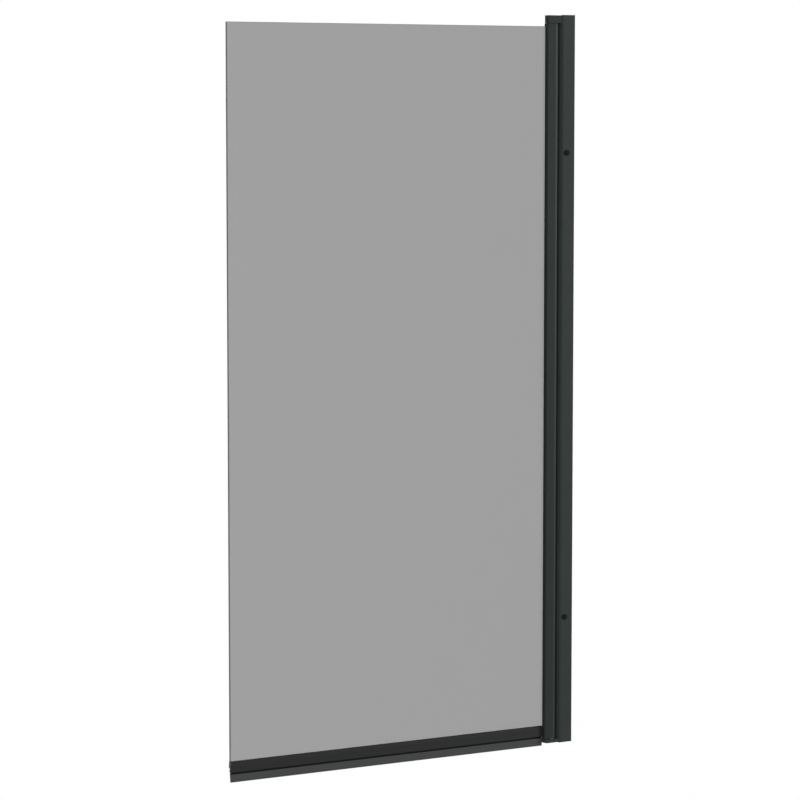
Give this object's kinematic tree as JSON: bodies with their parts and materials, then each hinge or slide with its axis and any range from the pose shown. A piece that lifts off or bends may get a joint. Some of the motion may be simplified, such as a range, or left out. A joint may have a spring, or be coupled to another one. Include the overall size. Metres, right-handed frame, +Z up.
{
  "type": "bath screen",
  "caption": "Swinging bath screen: a grey glass leaf with a lower wiper seal, on a black pivot profile in a telescoping black wall profile.",
  "frame": {"origin": "on the wall face, in the middle of the wall profile's fixing holes", "axes": "+X into the wall, +Y away from the side with the clamp screws, +Z up"},
  "size_m": [0.68, 0.0292, 1.3045],
  "materials": {
    "powder_coated_aluminium": "matte black powder coat",
    "cast_arm": "matte black powder coat",
    "stainless_steel": "satin",
    "black_plastic": "satin",
    "acetal": "satin",
    "black_rubber": "matte",
    "grey_glass": "clear, tinted grey",
    "black_pvc": "satin",
    "soft_pvc": "matte"
  },
  "bodies": {
    "wall_frame": {"wall_profile": "powder_coated_aluminium", "clamp_screws": "stainless_steel", "clamp_nuts": "stainless_steel", "clamp_screw_caps": "black_plastic"},
    "hinge_post_slide": {"hinge_post": "powder_coated_aluminium", "top_pivot_block": "cast_arm", "bottom_pivot_block": "cast_arm", "top_pivot_pin": "stainless_steel", "bottom_pivot_pin": "stainless_steel", "pivot_block_screws": "stainless_steel", "thrust_washer": "acetal", "hinge_seal": "black_rubber"},
    "screen_leaf": {"pivot_profile": "powder_coated_aluminium", "top_end_plug": "black_plastic", "bottom_end_plug": "black_plastic", "top_pivot_bush": "acetal", "bottom_pivot_bush": "acetal", "glass_panel": "grey_glass", "glazing_gasket_front": "black_rubber", "glazing_gasket_rear": "black_rubber", "glass_setting_block": "black_rubber", "glass_edge_packers": "acetal", "seal_clip": "black_pvc", "wiper_lip": "soft_pvc"}
  },
  "joints": [
    {"name": "width_adjust", "type": "slide", "parent": "wall_frame", "child": "hinge_post_slide", "axis": [-1, 0, 0], "range_m": [0, 0.01]},
    {"name": "leaf_swing", "type": "hinge", "parent": "hinge_post_slide", "child": "screen_leaf", "pos_m": [-0.038, 0, 0], "axis": [0, 0, 1], "range_deg": [-90, 90]}
  ]
}
